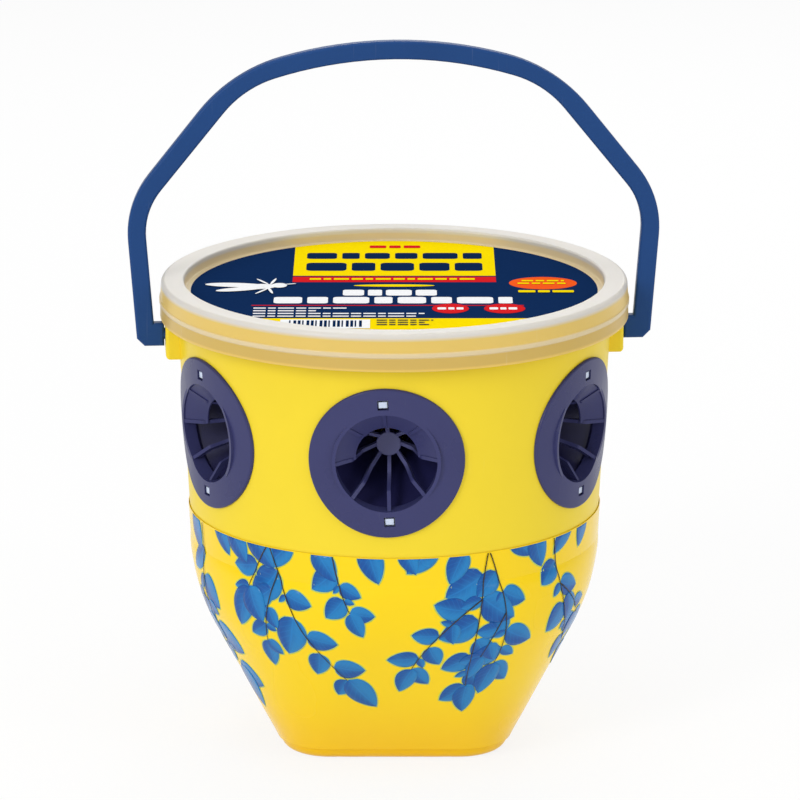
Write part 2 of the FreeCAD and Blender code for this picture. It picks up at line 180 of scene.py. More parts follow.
def handling_marks():
    """Group: thin scratches in two directions, as a mask."""
    group = bpy.data.node_groups.new("Handling Marks", "ShaderNodeTree")
    socket(group, "Amount", "NodeSocketFloat", "INPUT", 0.5)
    socket(group, "Mask", "NodeSocketFloat", "OUTPUT")
    start = add(group, "NodeGroupInput")
    place = add(group, "ShaderNodeTexCoord").outputs["Object"]
    masks = []
    for turn, stretch in ((0.5, (900.0, 900.0, 30.0)), (-0.7, (700.0, 700.0, 24.0))):
        turned = add(group, "ShaderNodeMapping", {"Vector": place, "Rotation": (turn, turn, turn),
                                                  "Scale": stretch})
        lines = add(group, "ShaderNodeTexNoise", {"Vector": turned.outputs["Vector"], "Scale": 1.0, "Detail": 1.0})
        thin = add(group, "ShaderNodeMapRange", {"Value": lines.outputs["Fac"], "From Min": 0.74, "From Max": 0.86})
        masks.append(thin.outputs["Result"])
    both = add(group, "ShaderNodeMath", {0: masks[0], 1: masks[1]}, operation="MAXIMUM")
    part = add(group, "ShaderNodeMath", {0: both.outputs[0], 1: start.outputs["Amount"]}, operation="MULTIPLY")
    end = add(group, "NodeGroupOutput")
    group.links.new(part.outputs[0], end.inputs["Mask"])
    return group


def shared(build):
    """The node group that a builder makes, built once."""
    name = build.__name__.replace("_", " ").title()
    return bpy.data.node_groups.get(name) or build()


def new_material(name):
    """An empty material: its tree and its Principled shader."""
    material = bpy.data.materials.new(name)
    material.use_nodes = True
    tree = material.node_tree
    tree.nodes.clear()
    shader = add(tree, "ShaderNodeBsdfPrincipled")
    output = add(tree, "ShaderNodeOutputMaterial")
    tree.links.new(shader.outputs["BSDF"], output.inputs["Surface"])
    return material, tree, shader


def mix(tree, factor, first, second):
    """Socket with the blend of two colours."""
    node = add(tree, "ShaderNodeMix", data_type="RGBA")
    for index, value in ((0, factor), (6, first), (7, second)):
        if isinstance(value, bpy.types.NodeSocket):
            tree.links.new(value, node.inputs[index])
        else:
            node.inputs[index].default_value = value if index == 0 else (*value, 1.0)
    return node.outputs[2]


def shade(rgb, factor):
    return tuple(min(1.0, channel * factor) for channel in rgb)


def plastic(name, rgb, roughness, peel, depth, marks=0.2, spread=0.06, mottle=0.1, **sockets):
    """Moulded plastic: orange peel, mottled tone, a few handling marks."""
    material, tree, shader = new_material(name)
    skin = add(tree, "ShaderNodeGroup", node_tree=shared(moulded_skin))
    for label, value in (("Scale", peel), ("Roughness", roughness), ("Spread", spread)):
        skin.inputs[label].default_value = value
    marked = add(tree, "ShaderNodeGroup", node_tree=shared(handling_marks))
    marked.inputs["Amount"].default_value = marks
    base = mix(tree, skin.outputs["Mottle"], shade(rgb, 1 - mottle), shade(rgb, 1 + mottle))
    worn = mix(tree, marked.outputs["Mask"], (0, 0, 0), tuple(0.2 + 0.8 * c for c in rgb))
    tree.links.new(base, worn.node.inputs[6])
    tree.links.new(worn, shader.inputs["Base Color"])
    tree.links.new(skin.outputs["Roughness"], shader.inputs["Roughness"])
    bump = add(tree, "ShaderNodeBump", {"Height": skin.outputs["Height"], "Distance": depth, "Strength": 0.5})
    tree.links.new(bump.outputs["Normal"], shader.inputs["Normal"])
    for label, value in sockets.items():
        shader.inputs[label.replace("_", " ")].default_value = value
    return material


def height_blend(tree, low, high):
    """Socket that runs from 0 to 1 between two heights."""
    place = add(tree, "ShaderNodeTexCoord").outputs["Object"]
    up = add(tree, "ShaderNodeSeparateXYZ", {"Vector": place}).outputs["Z"]
    return add(tree, "ShaderNodeMapRange", {"Value": up, "From Min": low, "From Max": high},
               interpolation_type="SMOOTHSTEP").outputs["Result"]


def axis_blend(tree, near, far):
    """Socket that runs from 0 to 1 between two distances from the trap's axis."""
    place = add(tree, "ShaderNodeTexCoord").outputs["Object"]
    flat = add(tree, "ShaderNodeVectorMath", {0: place, 1: (1, 1, 0)}, operation="MULTIPLY").outputs["Vector"]
    away = add(tree, "ShaderNodeVectorMath", {0: flat}, operation="LENGTH").outputs["Value"]
    return add(tree, "ShaderNodeMapRange", {"Value": away, "From Min": near, "From Max": far},
               interpolation_type="SMOOTHSTEP").outputs["Result"]


def tint_under(material, factor, rgb):
    """Gives a material a second colour where factor is 0."""
    tree = material.node_tree
    shader = next(n for n in tree.nodes if n.type == "BSDF_PRINCIPLED")
    above = shader.inputs["Base Color"].links[0].from_socket
    blend = mix(tree, factor, rgb, (0, 0, 0))
    tree.links.new(above, blend.node.inputs[7])
    tree.links.new(blend, shader.inputs["Base Color"])


# --- helpers for pieces ----------------------------------------------------------------

def finish_node(name, material):
    """Gives a CAD node its material."""
    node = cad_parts[name]
    node.data.materials.clear()
    node.data.materials.append(material)
    return node


def new_piece(name, mesh, body, material, smooth=True):
    """Puts a finished bmesh in the scene as a piece on a body."""
    data = bpy.data.meshes.new(name)
    mesh.to_mesh(data)
    mesh.free()
    for face in data.polygons:
        face.use_smooth = smooth
    piece = bpy.data.objects.new(name, data)
    bpy.context.scene.collection.objects.link(piece)
    data.materials.append(material)
    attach(piece, body)
    return piece


def film_shell(piece, thickness):
    """Gives a printed sheet its thickness, grown outward from the film."""
    solid = piece.modifiers.new("Ink", "SOLIDIFY")
    solid.thickness = thickness
    solid.offset = 1.0
    return piece


def face_out(mesh, outward):
    """Turns the faces of an open sheet so that they point along outward(centre)."""
    mesh.normal_update()
    wrong = [f for f in mesh.faces if f.normal.dot(outward(f.calc_center_median())) < 0]
    bmesh.ops.reverse_faces(mesh, faces=wrong)


# --- sleeve print: sprigs of leaves ------------------------------------------------------

LEAF_ACROSS = 8             # faces across a leaf
LEAF_ALONG = 14             # faces along a leaf
STEM_MARGIN = 26.0 * MM     # no stem grows on below this height above the sleeve's foot
EDGE_MARGIN = 0.4 * MM      # the print stops this far below the sleeve's top edge

# Each sprig: angle round the sleeve and heading in degrees (0 is the front, and
# straight down), turn at each leaf, leaves, leaf size, and the leaf at which a
# side shoot leaves with its own turn and count
FRONT_SPRIGS = (
    (-66.0, 4.0, 3.0, 6, 1.15, 2, -26.0, 3),
    (-35.0, 20.0, 2.0, 7, 1.05, 1, -42.0, 4),
    (-36.0, -34.0, 6.0, 2, 1.05, 0, 0.0, 0),
    (-16.0, 8.0, 3.5, 4, 0.66, 0, 0.0, 0),
    (27.0, -10.0, 2.0, 7, 1.00, 2, -52.0, 6),
    (27.5, 24.0, -6.0, 6, 0.95, 3, -38.0, 3),
    (50.0, 6.0, 5.0, 6, 1.05, 2, 40.0, 3),
)
FRINGE_ANGLES = (-74, -57, -50, -42, -28, -21, -7, 3, 12, 20, 34, 42, 58, 66)


class Film:
    """The sleeve's outer face, as angle and height."""

    def __init__(self, node):
        self.tree = BVHTree.FromPolygons([v.co for v in node.data.vertices],
                                         [p.vertices for p in node.data.polygons])
        low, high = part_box(node.name)
        self.bottom, self.top = low.z, high.z
        self.axis = Vector(((low.x + high.x) / 2, (low.y + high.y) / 2, 0))
        self.reach = high.x - self.axis.x + 10 * MM

    def outward(self, angle):
        return Vector((math.sin(angle), -math.cos(angle), 0))

    def radius(self, angle, height):
        """Distance of the face from the axis."""
        inside = min(max(height, self.bottom + 0.5 * MM), self.top - 0.5 * MM)
        out = self.outward(angle)
        hit = self.tree.ray_cast(self.axis + out * self.reach + Vector((0, 0, inside)), -out)[0]
        return (hit - self.axis).to_2d().length

    def point(self, angle, height, lift):
        return self.axis + self.outward(angle) * (self.radius(angle, height) + lift) + Vector((0, 0, height))

    def step(self, angle, height, across, down):
        """The angle and height reached by going that far over the face."""
        span = 2 * MM
        radius = self.radius(angle, height)
        rise = (self.radius(angle, height + span) - self.radius(angle, height - span)) / (2 * span)
        return angle + across / radius, height - down / math.hypot(1, rise)


def leaf_outline(along):
    """Half-width of a leaf at a share of its length: round base, pointed tip."""
    peak = 0.391
    return along ** 0.55 * (1 - along) ** 0.85 / peak


def add_leaf(mesh, film, site, size, grow, lift):
    """One leaf: a grid shaped to a pointed oval and laid on the film."""
    angle, height, heading = site
    length, width, bend = size
    made = bmesh.ops.create_grid(mesh, x_segments=LEAF_ACROSS, y_segments=LEAF_ALONG, size=1.0)
    uv = mesh.loops.layers.uv.verify()
    shares = {}
    for vert in made["verts"]:
        side, along = vert.co.x, (vert.co.y + 1) / 2
        shares[vert] = (side, along)
        half = width / 2 * leaf_outline(along) + grow * min(1.0, 8 * along, 8 * (1 - along))
        across = side * half + bend * (2 * along - 1) ** 2
        forward = along * (length + 2.5 * grow) - grow
        x = across * math.cos(heading) + forward * math.sin(heading)
        down = forward * math.cos(heading) - across * math.sin(heading)
        vert.co = film.point(*film.step(angle, height, x, down), lift)
    for face in {face for vert in made["verts"] for face in vert.link_faces}:
        for loop in face.loops:
            side, along = shares[loop.vert]
            loop[uv].uv = (side / 2 + 0.5, along)
    bmesh.ops.remove_doubles(mesh, verts=made["verts"], dist=0.01 * MM)


def add_stem(mesh, film, path, width, lift):
    """A ribbon along a path of (angle, height, heading) that thins to its end."""
    last = len(path) - 1
    made = bmesh.ops.create_grid(mesh, x_segments=1, y_segments=last, size=1.0)
    for vert in made["verts"]:
        index = round((vert.co.y + 1) / 2 * last)
        angle, height, heading = path[index]
        half = vert.co.x * width / 2 * (1 - 0.5 * index / last)
        place = film.step(angle, height, half * math.cos(heading), -half * math.sin(heading))
        vert.co = film.point(*place, lift)


def grow_sprig(film, start, turn, count, scale, settings, rng):
    """Walks down the film: the stem's path and its leaves' sites and sizes."""
    path, leaves = [start], []
    angle, height, heading = start
    for index in range(count):
        reach = settings.leaf_length * scale * (0.60 - 0.02 * index)
        if height < film.bottom + STEM_MARGIN:
            break
        for _ in range(3):
            heading += math.radians(turn) / 3 + rng.uniform(-0.02, 0.02)
            angle, height = film.step(angle, height, reach / 3 * math.sin(heading), reach / 3 * math.cos(heading))
            path.append((angle, height, heading))
        side = 1 if index % 2 else -1
        length = settings.leaf_length * scale * rng.uniform(0.7, 1.2) * (1 - 0.25 * index / count)
        tilt = heading + side * math.radians(rng.uniform(38, 62))
        leaves.append(((angle, height, tilt), (length, length * rng.uniform(0.66, 0.84), side * 0.04 * length)))
        if index and rng.random() < 0.5:
            small = length * rng.uniform(0.35, 0.55)
            tilt = heading - side * math.radians(rng.uniform(45, 75))
            leaves.append(((angle, height, tilt), (small, small * 0.62, 0.0)))
    length = settings.leaf_length * scale * rng.uniform(0.9, 1.15)
    leaves.append(((angle, height, heading), (length, length * 0.62, 0.03 * length)))
    return path, leaves


def all_sprigs(film, settings, rng):
    """Every stem and leaf of the print: the front's sprigs, turned to go all round."""
    stems, leaves = [], []
    for half_turn in (0.0, math.pi):
        for angle, heading, turn, count, scale, fork, fork_turn, fork_count in FRONT_SPRIGS:
            jitter = 0.0 if half_turn == 0 else math.radians(rng.uniform(-4, 4))
            start = (math.radians(angle) + settings.print_turn + half_turn + jitter, film.top, math.radians(heading))
            path, sites = grow_sprig(film, start, turn, count, scale, settings, rng)
            stems.append(path)
            leaves += sites
            if fork_count:
                away = path[3 * fork]
                side = (away[0], away[1], away[2] + math.radians(fork_turn))
                path, sites = grow_sprig(film, side, -fork_turn / 9, fork_count, scale * 0.8, settings, rng)
                stems.append(path)
                leaves += sites
        for angle in FRINGE_ANGLES:
            length = settings.leaf_length * rng.uniform(0.8, 1.2)
            site = (math.radians(angle) + settings.print_turn + half_turn, film.top + rng.uniform(0.1, 0.45) * length,
                    math.radians(rng.uniform(-50, 50)))
            leaves.append((site, (length, length * rng.uniform(0.5, 0.7), 0.0)))
    return stems, [leaf for leaf in leaves if leaf[0][1] > film.bottom + 16 * MM]


def ink_levels(film, leaves):
    """A print level for each leaf, such that no two leaves that may overlap share one."""
    placed = []
    for (angle, height, heading), (length, _, _) in leaves:
        ahead = (length / 2 * math.sin(heading), length / 2 * math.cos(heading))
        middle = film.point(*film.step(angle, height, *ahead), 0.0)
        taken = {level for spot, reach, level in placed if (spot - middle).length < (reach + length) / 2}
        placed.append((middle, length, next(level for level in itertools.count() if level not in taken)))
    return [level for _, _, level in placed]


def leaf_material(settings):
    """Printed leaf: one half darker than the other, a pale midrib and soft side veins."""
    material, tree, shader = new_material("Leaf Ink")
    uv = add(tree, "ShaderNodeUVMap").outputs["UV"]
    parts = add(tree, "ShaderNodeSeparateXYZ", {"Vector": uv})
    place = add(tree, "ShaderNodeTexCoord").outputs["Object"]
    cloud = add(tree, "ShaderNodeTexNoise", {"Vector": place, "Scale": 90.0, "Detail": 2.0}).outputs["Fac"]
    lean = add(tree, "ShaderNodeMapRange", {"Value": parts.outputs["X"], "From Min": 0.25, "From Max": 0.8})
    tone = add(tree, "ShaderNodeMath", {0: cloud, 1: lean.outputs["Result"]}, operation="ADD")
    tone = add(tree, "ShaderNodeMapRange", {"Value": tone.outputs[0], "From Min": 0.45, "From Max": 1.35})
    body = mix(tree, tone.outputs["Result"], settings.leaf_dark, settings.leaf_light)
    offset = add(tree, "ShaderNodeMath", {0: parts.outputs["X"], 1: 0.5}, operation="SUBTRACT")
    side = add(tree, "ShaderNodeMath", {0: offset.outputs[0]}, operation="ABSOLUTE")
    rib = add(tree, "ShaderNodeMapRange", {"Value": side.outputs[0], "From Min": 0.0, "From Max": 0.05,
                                           "To Min": 0.35, "To Max": 0.0})
    slant = add(tree, "ShaderNodeMath", {0: side.outputs[0], 1: -0.5, 2: parts.outputs["Y"]},
                operation="MULTIPLY_ADD")
    veins = add(tree, "ShaderNodeMath", {0: slant.outputs[0], 1: 44.0}, operation="MULTIPLY")
    veins = add(tree, "ShaderNodeMath", {0: veins.outputs[0]}, operation="SINE")
    veins = add(tree, "ShaderNodeMapRange", {"Value": veins.outputs[0], "From Min": 0.6, "From Max": 1.0,
                                             "To Min": 0.0, "To Max": 0.14})
    lines = add(tree, "ShaderNodeMath", {0: rib.outputs["Result"], 1: veins.outputs["Result"]},
                operation="MAXIMUM")
    tree.links.new(mix(tree, lines.outputs[0], (0, 0, 0), shade(settings.leaf_light, 1.35)),
                   shader.inputs["Base Color"])
    tree.links.new(body, shader.inputs["Base Color"].links[0].from_node.inputs[6])
    film_gloss(tree, shader)
    return material


def film_gloss(tree, shader):
    """The gloss of printed film: smooth, with the faint ripple of shrunk film."""
    place = add(tree, "ShaderNodeTexCoord").outputs["Object"]
    ripple = add(tree, "ShaderNodeTexNoise", {"Vector": place, "Scale": 26.0, "Detail": 1.5})
    rough = add(tree, "ShaderNodeMapRange", {"Value": ripple.outputs["Fac"], "From Min": 0.3, "From Max": 0.7,
                                             "To Min": 0.20, "To Max": 0.28})
    bump = add(tree, "ShaderNodeBump", {"Height": ripple.outputs["Fac"], "Distance": 0.25 * MM, "Strength": 0.35})
    tree.links.new(rough.outputs["Result"], shader.inputs["Roughness"])
    tree.links.new(bump.outputs["Normal"], shader.inputs["Normal"])
    shader.inputs["Specular IOR Level"].default_value = 0.25
    shader.inputs["Coat Weight"].default_value = 0.12
    shader.inputs["Coat Roughness"].default_value = 0.08


def matt_print(tree, shader):
    """The surface of the lid's label: a matt print with a faint grain."""
    place = add(tree, "ShaderNodeTexCoord").outputs["Object"]
    grain = add(tree, "ShaderNodeTexNoise", {"Vector": place, "Scale": 900.0, "Detail": 2.0})
    rough = add(tree, "ShaderNodeMapRange", {"Value": grain.outputs["Fac"], "From Min": 0.3, "From Max": 0.7,
                                             "To Min": 0.55, "To Max": 0.65})
    bump = add(tree, "ShaderNodeBump", {"Height": grain.outputs["Fac"], "Distance": 0.02 * MM, "Strength": 0.3})
    tree.links.new(rough.outputs["Result"], shader.inputs["Roughness"])
    tree.links.new(bump.outputs["Normal"], shader.inputs["Normal"])
    shader.inputs["Specular IOR Level"].default_value = 0.0


def film_material(settings, film):
    """Printed film: strong yellow, with painted shade that deepens it towards the foot."""
    material, tree, shader = new_material("Sleeve Film")
    rise = height_blend(tree, film.bottom, film.bottom + 0.35 * (film.top - film.bottom))
    tree.links.new(mix(tree, rise, settings.film_low, settings.film), shader.inputs["Base Color"])
    film_gloss(tree, shader)
    return material


def ink_material(name, rgb, surface=film_gloss):
    """A flat printed colour with the press's faint unevenness, under the film's own surface."""
    material, tree, shader = new_material(name)
    place = add(tree, "ShaderNodeTexCoord").outputs["Object"]
    speckle = add(tree, "ShaderNodeTexNoise", {"Vector": place, "Scale": 700.0, "Detail": 2.0}).outputs["Fac"]
    tree.links.new(mix(tree, speckle, shade(rgb, 0.9), shade(rgb, 1.1)), shader.inputs["Base Color"])
    surface(tree, shader)
    return material


def clip_above(mesh, height):
    """Cuts a print off at a height, as the edge of the film does."""
    geometry = mesh.verts[:] + mesh.edges[:] + mesh.faces[:]
    bmesh.ops.bisect_plane(mesh, geom=geometry, plane_co=(0, 0, height), plane_no=(0, 0, 1), clear_outer=True)


class TRAP_OT_sleeve(bpy.types.Operator):
    """Finish the printed sleeve and lay its leaf print"""
    bl_idname = "trap.sleeve"
    bl_label = "Printed Sleeve"

    def execute(self, context):
        settings = context.scene.trap_sleeve
        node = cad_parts["label_sleeve"]
        film = Film(node)
        finish_node("label_sleeve", film_material(settings, film))
        rng = random.Random(settings.seed)
        stems, leaves = all_sprigs(film, settings, rng)
        step = settings.ink_step
        halo_mesh, leaf_mesh, stem_mesh = bmesh.new(), bmesh.new(), bmesh.new()
        levels = ink_levels(film, leaves)
        for (site, size), level in zip(leaves, levels):
            add_leaf(halo_mesh, film, site, size, settings.halo_width, step)
            add_leaf(leaf_mesh, film, site, size, 0.0, (3 + 1.5 * level) * step)
        for path in stems:
            add_stem(stem_mesh, film, path, settings.stem_width, (5 + 1.5 * max(levels)) * step)
        inks = (("leaf_print_edges", halo_mesh, ink_material("Leaf Edge Ink", settings.halo)),
                ("leaf_print", leaf_mesh, leaf_material(settings)),
                ("leaf_print_stems", stem_mesh, ink_material("Stem Ink", settings.stem)))
        for name, mesh, material in inks:
            clip_above(mesh, film.top - EDGE_MARGIN)
            face_out(mesh, lambda centre: (centre - film.axis).to_2d().to_3d())
            film_shell(new_piece(name, mesh, "tub", material), step)
        return {"FINISHED"}


# --- lid print ---------------------------------------------------------------------------

CIRCLE_SEGMENTS = 96
BLOCK_HALF = 48.0 * MM      # half-width of the yellow panel at the back of the lid
BLOCK_FRONT = 24.5 * MM     # its front edge
BAND_EDGE = -57.0 * MM      # back edge of the yellow segment at the front


class Sheet:
    """A flat print, built up from shapes laid on the lid's film."""

    def __init__(self, low, high, step):
        self.centre = ((low.x + high.x) / 2, (low.y + high.y) / 2)
        self.radius = (high.x - low.x) / 2
        self.top = high.z
        self.step = step
        self.mesh = bmesh.new()

    def place(self, verts, layer, x, y, size_x, size_y, turn=0.0):
        bmesh.ops.scale(self.mesh, verts=verts, vec=(size_x, size_y, 1))
        spin = Matrix.Rotation(turn, 3, "Z")
        bmesh.ops.rotate(self.mesh, verts=verts, matrix=spin, cent=(0, 0, 0))
        height = self.top + layer * self.step
        bmesh.ops.translate(self.mesh, verts=verts, vec=(self.centre[0] + x, self.centre[1] + y, height))

    def oval(self, layer, x, y, half_x, half_y, turn=0.0, segments=48):
        made = bmesh.ops.create_circle(self.mesh, cap_ends=True, segments=segments, radius=1.0)
        self.place(made["verts"], layer, x, y, half_x, half_y, turn)

    def bar(self, layer, x0, x1, y0, y1, corner=0.35):
        """A rectangle, its corners rounded by a share of its shorter half."""
        made = bmesh.ops.create_grid(self.mesh, x_segments=1, y_segments=1, size=0.5)
        self.place(made["verts"], layer, (x0 + x1) / 2, (y0 + y1) / 2, x1 - x0, y1 - y0)
        if corner:
            radius = corner * min(x1 - x0, y1 - y0) / 2
            bmesh.ops.bevel(self.mesh, geom=made["verts"], offset=radius, offset_type="OFFSET", segments=4,
                            profile=0.5, material=-1, affect="VERTICES")

    def slice(self, layer, cuts):
        """The film's own disc cut down by (x, y, normal x, normal y) lines."""
        made = bmesh.ops.create_circle(self.mesh, cap_ends=True, segments=CIRCLE_SEGMENTS, radius=1.0)
        inside = self.radius - 0.4 * MM
        self.place(made["verts"], layer, 0, 0, inside, inside)
        height = self.top + layer * self.step
        for x, y, normal_x, normal_y in cuts:
            level = [v for v in self.mesh.verts if abs(v.co.z - height) < self.step / 2]
            faces = {f for v in level for f in v.link_faces}
            edges = {e for v in level for e in v.link_edges}
            at = (self.centre[0] + x, self.centre[1] + y, 0)
            bmesh.ops.bisect_plane(self.mesh, geom=[*level, *edges, *faces], plane_co=at,
                                   plane_no=(normal_x, normal_y, 0), clear_outer=True)

    def piece(self, name, material, turn):
        """The finished print, turned about the lid's axis."""
        bmesh.ops.rotate(self.mesh, verts=self.mesh.verts, matrix=Matrix.Rotation(turn, 3, "Z"),
                         cent=(*self.centre, 0))
        face_out(self.mesh, lambda centre: Vector((0, 0, 1)))
        return film_shell(new_piece(name, self.mesh, "cover", material, smooth=False), self.step)


def text_rows(sheet, layer, rows, gap, word):
    """Rows of plain blocks where wording would be, from (x0, x1, y0, y1) rows."""
    for x0, x1, y0, y1 in rows:
        x = x0
        for share in itertools.cycle(word):
            end = min(x + share * (y1 - y0), x1)
            sheet.bar(layer, x, end, y0, y1)
            x = end + gap
            if x >= x1 - gap:
                break


class TRAP_OT_lid(bpy.types.Operator):
    """Finish the milky lid"""
    bl_idname = "trap.lid"
    bl_label = "Lid"

    def execute(self, context):
        colours = context.scene.trap_plastic
        material = plastic("Milky Lid", colours.lid, 0.34, 420.0, 0.05 * MM, marks=0.1, mottle=0.03,
                           Transmission_Weight=0.2, IOR=1.45, Subsurface_Weight=0.2, Subsurface_Scale=2 * MM,
                           Subsurface_Radius=(1.0, 0.9, 0.6))
        self.show_tub(material.node_tree, colours)
        finish_node("lid", material)
        return {"FINISHED"}


    def show_tub(self, tree, colours):
        """Tints the milky plastic by height, as the yellow tub and rim show through it, and paints light and shade on
        the skirt: a darker, shaded copy of the show-through colour on the lower band and a painted highlight in the
        pale band at the bead.
        """
        low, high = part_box("lid")
        place = add(tree, "ShaderNodeTexCoord").outputs["Object"]
        up = add(tree, "ShaderNodeSeparateXYZ", {"Vector": place}).outputs["Z"]
        height = add(tree, "ShaderNodeMapRange", {"Value": up, "From Min": low.z, "From Max": high.z})
        tint_and_light_ramp = add(tree, "ShaderNodeValToRGB", {"Fac": height.outputs["Result"]})
        over, milky = colours.lid_over_tub, colours.lid
        pale = tuple(0.5 * (a + b) for a, b in zip(over, milky))
        # Painted light and shade: the 0.78 and 0.80 copies of the show-through colour are painted shade on the
        # skirt's lower band, the pale band from 0.38 to 0.48 is a painted highlight along the bead, and the 0.96 copy
        # at the bottom edge is lighter than that band; the rest is the tub's colour through the lid and the milky top
        steps = ((0.04, shade(over, 0.96)), (0.09, shade(over, 0.78)), (0.34, shade(over, 0.80)), (0.38, pale),
                 (0.48, pale), (0.52, over), (0.80, over), (0.90, milky))
        ramp = tint_and_light_ramp.color_ramp
        ramp.elements[0].position, ramp.elements[0].color = steps[0][0], (*steps[0][1], 1.0)
        ramp.elements[1].position, ramp.elements[1].color = steps[-1][0], (*steps[-1][1], 1.0)
        for position, rgb in steps[1:-1]:
            ramp.elements.new(position).color = (*rgb, 1.0)
        inner = mix(tree, height_blend(tree, high.z - 3 * MM, high.z - 1.5 * MM), pale, milky)
        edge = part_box("lid_label")[1].x + 5 * MM
        tint = mix(tree, axis_blend(tree, edge, edge + 1 * MM), (0, 0, 0), (0, 0, 0))
        tree.links.new(inner, tint.node.inputs[6])
        tree.links.new(tint_and_light_ramp.outputs["Color"], tint.node.inputs[7])
        shader = next(n for n in tree.nodes if n.type == "BSDF_PRINCIPLED")
        tree.links.new(tint, shader.inputs["Base Color"].links[0].from_node.inputs[6])


class TRAP_OT_lid_print(bpy.types.Operator):
    """Print the round film in the lid's recess with plain panels and bars"""
    bl_idname = "trap.lid_print"
    bl_label = "Lid Print"

    def execute(self, context):
        colours = context.scene.trap_lid_print
        low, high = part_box("lid_label")
        finish_node("lid_label", ink_material("Lid Print Navy", colours.navy, matt_print))
        yellow, red, white, orange, dark = (Sheet(low, high, colours.ink_step) for _ in range(5))
        panel = [(-BLOCK_HALF, 0, -1, 0), (BLOCK_HALF, 0, 1, 0), (0, BLOCK_FRONT, 0, -1)]
        yellow.slice(1, panel)
        yellow.slice(2, [(0, BAND_EDGE, 0, 1)])
        yellow.oval(3, 0, 5 * MM, 19 * MM, 2.2 * MM)
        red.bar(1, -BLOCK_HALF, BLOCK_HALF, 12 * MM, 22.5 * MM, corner=0)
        red.bar(3, -66 * MM, 60 * MM, -33.6 * MM, -32.4 * MM, corner=0)
        red.oval(4, 26 * MM, -39 * MM, 8.5 * MM, 9 * MM)
        red.oval(4, 51 * MM, -39 * MM, 9.5 * MM, 9 * MM)
        orange.oval(1, 70 * MM, 10 * MM, 16 * MM, 12 * MM)
        text_rows(dark, 3, [(-42 * MM, 42 * MM, 58 * MM, 70 * MM), (-42 * MM, 42 * MM, 34 * MM, 50 * MM)],
                  2.5 * MM, (1.2, 0.7, 1.0, 0.9, 1.4))
        text_rows(red, 5, [(-12 * MM, 14 * MM, 80 * MM, 85 * MM)], 1.5 * MM, (1.6, 1.1))
        text_rows(yellow, 5, [(-40 * MM, 40 * MM, 16 * MM, 19 * MM)], 1.2 * MM, (1.8, 1.2, 2.4))
        text_rows(yellow, 7, [(60 * MM, 80 * MM, 12.5 * MM, 15 * MM), (58 * MM, 82 * MM, 7.5 * MM, 10 * MM)],
                  1.2 * MM, (2.2, 1.6))
        text_rows(yellow, 9, [(58 * MM, 84 * MM, -9 * MM, -5 * MM)], 1.2 * MM, (2.0, 1.4, 2.6))
        text_rows(white, 1, [(-24 * MM, 20 * MM, -14 * MM, -3 * MM)], 1.8 * MM, (0.9, 0.6, 1.1))
        text_rows(white, 2, [(-56 * MM, 55 * MM, -29 * MM, -17 * MM)], 2.4 * MM, (1.1, 0.8, 1.4, 0.7))
        small = [(-65 * MM, x1 * MM, y * MM, (y + 1.8) * MM) for x1, y in ((-22, -39), (-36, -44), (14, -49), (10, -54))]
        text_rows(white, 3, small, 1.0 * MM, (3.2, 2.0, 4.1, 2.6))
        text_rows(white, 5, [(20 * MM, 32 * MM, -41 * MM, -37 * MM), (44 * MM, 58 * MM, -41 * MM, -37 * MM)],
                  1.0 * MM, (1.0, 0.7))
        self.fly(white, 8)
        white.bar(7, -52 * MM, -11 * MM, -76 * MM, -60 * MM, corner=0)
        for index in range(17):
            x = -48 * MM + index * 2.0 * MM
            dark.bar(9, x, x + (1.3 if index % 3 else 0.7) * MM, -73.5 * MM, -62 * MM, corner=0)
        lines = [(-8 * MM, x1 * MM, y * MM, (y + 1.2) * MM) for x1, y in ((18, -62), (14, -66), (16, -70))]
        text_rows(dark, 11, lines, 0.9 * MM, (4.0, 2.5))
        inks = (("yellow", yellow), ("red", red), ("white", white), ("orange", orange))
        for name, sheet in inks:
            ink = ink_material(f"Lid Print {name.title()}", getattr(colours, name), matt_print)
            sheet.piece(f"lid_print_{name}", ink, colours.print_turn)
        ink = ink_material("Lid Print Dark", shade(colours.navy, 0.8), matt_print)
        dark.piece("lid_print_dark", ink, colours.print_turn)
        return {"FINISHED"}

    def fly(self, sheet, layer):
        """A plain fly seen from above: body, head and two wings."""
        x, y = -64 * MM, 2 * MM
        ovals = ((0, 0, 9, 5.0, 0.2), (10, 2.4, 3.6, 4.4, 0.0), (-11, 3, 14, 4.0, -0.1), (-8, -5, 12, 3.4, 0.3),
                 (2, -9, 0.7, 6, -0.5), (6, -8, 0.7, 6, 0.2), (2, 9, 0.7, 6, 0.5), (7, 9, 0.7, 6, -0.2),
                 (15, 4, 3, 0.6, 0.3))
        for index, (across, up, long, wide, turn) in enumerate(ovals):
            sheet.oval(layer + index, x + across * MM, y + up * MM, long * MM, wide * MM, turn)


# --- the other moulded parts ----------------------------------------------------------------

class TRAP_OT_tub(bpy.types.Operator):
    """Finish the moulded tub"""
    bl_idname = "trap.tub"
    bl_label = "Tub"

    def execute(self, context):
        colours = context.scene.trap_plastic
        material = plastic("Tub Plastic", colours.tub, 0.36, 260.0, 0.06 * MM, marks=0.08, mottle=0.03,
                           Specular_IOR_Level=0.22)
        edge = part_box("label_sleeve")[0].z
        tint_under(material, height_blend(material.node_tree, edge, edge + 1.0 * MM), colours.tub_foot)
        finish_node("bucket", material)
        return {"FINISHED"}


